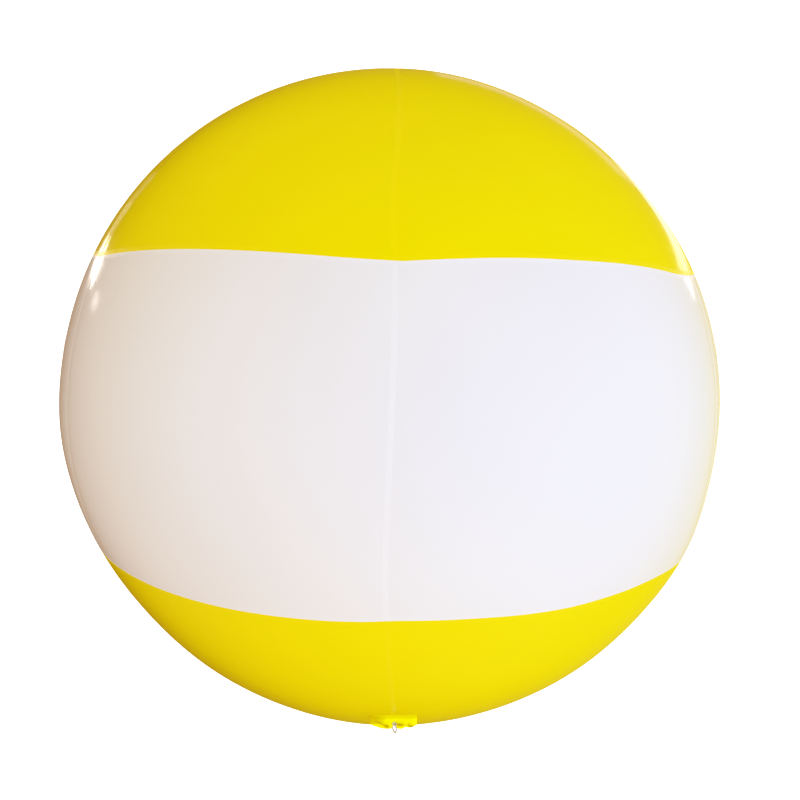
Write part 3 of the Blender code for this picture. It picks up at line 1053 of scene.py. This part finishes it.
def make_camera():
    """The photograph's camera."""
    data = bpy.data.cameras.new("camera")
    data.sensor_width = CAMERA_SENSOR
    data.lens = CAMERA_LENS
    data.shift_x, data.shift_y = CAMERA_SHIFT
    data.clip_start, data.clip_end = CAMERA_CLIP
    camera = linked("camera", data)
    level = CAMERA_DISTANCE * cos(CAMERA_ELEVATION)
    height = CAMERA_DISTANCE * sin(CAMERA_ELEVATION)
    camera.matrix_world = looking_back(on_axis(level, height, CAMERA_AZIMUTH), CAMERA_ROLL)
    bpy.context.scene.camera = camera


def make_windows():
    """Bright windows far behind the balloon, each turned to its centre."""
    for name, (azimuth, elevation, wide, tall, tilt, bright) in WINDOWS.items():
        data = bpy.data.lights.new(name, "AREA")
        data.shape = "RECTANGLE"
        data.size = 2.0 * WINDOW_DISTANCE * tan(radians(wide / 2.0))
        data.size_y = 2.0 * WINDOW_DISTANCE * tan(radians(tall / 2.0))
        strongest = max(bright)
        data.color = [part / strongest for part in bright]
        data.energy = strongest * pi * data.size * data.size_y
        lamp = linked(name, data)
        place = seen_from_camera(azimuth, elevation, WINDOW_DISTANCE)
        lamp.matrix_world = looking_back(place, radians(tilt))
        hide_from(lamp, "diffuse", "camera")


def room_glows(count, room, parts):
    """Directions spread evenly on a spiral, with the colour of each one's part of the room."""
    glows = []
    for i in range(count):
        height = 1.0 - (2.0 * i + 1.0) / count
        turn = pi / 2.0 + SPIRAL_TURN * i + CAMERA_AZIMUTH
        direction = on_axis(sqrt(1.0 - height * height), height, turn)
        colour = room
        for azimuth, elevation, reach, own in parts.values():
            if direction.angle(seen_from_camera(azimuth, elevation)) < radians(reach):
                colour = own
                break
        glows.append((direction, colour))
    return glows


def hollow_ball(name, subdivisions, radius, material):
    """A ball round the scene whose faces look inwards."""
    bm = bmesh.new()
    bmesh.ops.create_icosphere(bm, subdivisions=subdivisions, radius=radius)
    bmesh.ops.reverse_faces(bm, faces=bm.faces[:])
    return object_from_bmesh(name, bm, material)


def glow_material(name):
    """Light of the colour that a dome's points hold."""
    material, tree, shader = new_material(name)
    light = add(tree, "ShaderNodeEmission", {"Color": point_value(tree, "glow", "Color")})
    tree.links.new(light.outputs[0], tree.nodes["Material Output"].inputs["Surface"])
    tree.nodes.remove(shader)
    material.cycles.emission_sampling = "NONE"
    return material


def glow_dome(name, radius, glows, sharpness):
    """A dome of soft light round the scene, coloured by the glows from each direction."""
    dome = hollow_ball(name, DOME_SUBDIVISIONS, radius, glow_material(f"{name}_light"))
    points = np.empty(3 * len(dome.data.vertices))
    dome.data.vertices.foreach_get("co", points)
    towards = points.reshape(-1, 3) / radius
    total = np.zeros_like(towards)
    for direction, colour in glows:
        facing = towards @ np.array(direction)
        total += np.maximum(facing, 0.0)[:, None] ** sharpness * np.array(colour)
    layer = dome.data.attributes.new("glow", "FLOAT_COLOR", "POINT")
    layer.data.foreach_set("color", np.hstack((total, np.ones((len(total), 1)))).ravel())
    dome.data.shade_smooth()
    return dome


def make_surroundings():
    """Two domes of soft light: one for the matt part of the surfaces, one for the gloss."""
    soft_glows = room_glows(SOFT_GLOWS, SOFT_ROOM, SOFT_PARTS)
    gloss_glows = room_glows(GLOSS_GLOWS, GLOSS_ROOM, GLOSS_PARTS)
    soft = glow_dome("soft_light_dome", SOFT_DOME_RADIUS, soft_glows, SOFT_SHARPNESS)
    gloss = glow_dome("gloss_dome", GLOSS_DOME_RADIUS, gloss_glows, GLOSS_SHARPNESS)
    hide_from(soft, "glossy")
    hide_from(gloss, "diffuse")
    for dome in (soft, gloss):
        hide_from(dome, "camera", "transmission", "shadow")
    world = bpy.data.worlds.new("surroundings")
    world.use_nodes = True
    set_inputs(world.node_tree, world.node_tree.nodes["Background"], {"Color": (0.0, 0.0, 0.0)})
    bpy.context.scene.world = world


def make_stage():
    """A pale floor far below and a white backdrop, which only the camera sees."""
    bm = bmesh.new()
    bmesh.ops.create_circle(bm, cap_ends=True, segments=FLOOR_SEGMENTS, radius=FLOOR_RADIUS)
    bmesh.ops.translate(bm, vec=(0.0, 0.0, FLOOR_LEVEL), verts=bm.verts[:])
    floor = object_from_bmesh("floor", bm, stage_material("pale_floor"))
    sheet = stage_material("white_sheet")
    backdrop = hollow_ball("backdrop", BACKDROP_SUBDIVISIONS, BACKDROP_RADIUS, sheet)
    for thing in (floor, backdrop):
        hide_from(thing, "diffuse", "glossy", "transmission", "shadow")


def make_panels(yellow, white):
    """The envelope's welded panels, which ride on it."""
    for zone, film in (("upper", yellow), ("band", white), ("lower", yellow)):
        for gore in range(GORES):
            piece = film_panel(zone, gore, film)
            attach(piece, "envelope")
            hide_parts(f"{zone}_panel_{gore + 1}")


def make_caps(yellow):
    """The film discs over both poles. The valve's neck stands in the lower one."""
    for name, side, hole, node in (
        ("top_disc", 1.0, CAP_PINHOLE, "top_polar_cap"),
        ("bottom_disc", -1.0, NECK_RADIUS + NECK_GAP, "bottom_polar_cap"),
    ):
        disc = polar_cap(name, side, hole, yellow)
        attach(disc, "envelope")
        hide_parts(node)


def make_tabs(yellow, lemon, steel):
    """The tether tabs: flap, patch and eyelet ride on the envelope, the ring on its body."""
    for number, body in enumerate(("ring_front", "ring_right", "ring_left"), 1):
        azimuth = 2.0 * pi * (number - 1) / TABS
        flap = tether_flap(number, azimuth, lemon)
        hide_from(flap, "glossy")
        patch = weld_patch(number, azimuth, yellow)
        eyelet = eyelet_piece(number, azimuth, steel)
        ring = ring_piece(number, azimuth, steel)
        for piece in (flap, patch, eyelet):
            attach(piece, "envelope")
        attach(ring, body)
        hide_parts(f"tether_tab_{number}")
        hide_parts(f"tether_eyelet_{number}")
        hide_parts(f"tether_ring_{number}")


def paint_valve(plastic):
    """The valve keeps its solids and gets the plastic's look."""
    for node in ("valve_body", "valve_lid"):
        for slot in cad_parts[node].material_slots:
            slot.link = "OBJECT"
            slot.material = plastic


def make_balloon():
    """All that shows of the balloon."""
    yellow = film_material("yellow_gloss_film", *YELLOW)
    white = film_material("white_gloss_film", *WHITE)
    lemon = film_material("lemon_tab_film", *FLAP)
    steel = steel_material()
    make_panels(yellow, white)
    make_caps(yellow)
    make_tabs(yellow, lemon, steel)
    paint_valve(plastic_material())


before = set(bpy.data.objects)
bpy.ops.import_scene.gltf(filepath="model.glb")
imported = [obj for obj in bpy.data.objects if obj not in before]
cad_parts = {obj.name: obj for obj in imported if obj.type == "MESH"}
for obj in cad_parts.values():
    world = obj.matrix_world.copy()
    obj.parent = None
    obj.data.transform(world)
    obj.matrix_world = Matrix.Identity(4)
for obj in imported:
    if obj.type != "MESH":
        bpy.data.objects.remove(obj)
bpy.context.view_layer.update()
make_balloon()
make_stage()
make_surroundings()
make_windows()
make_camera()
bpy.context.scene.view_settings.view_transform = "Standard"
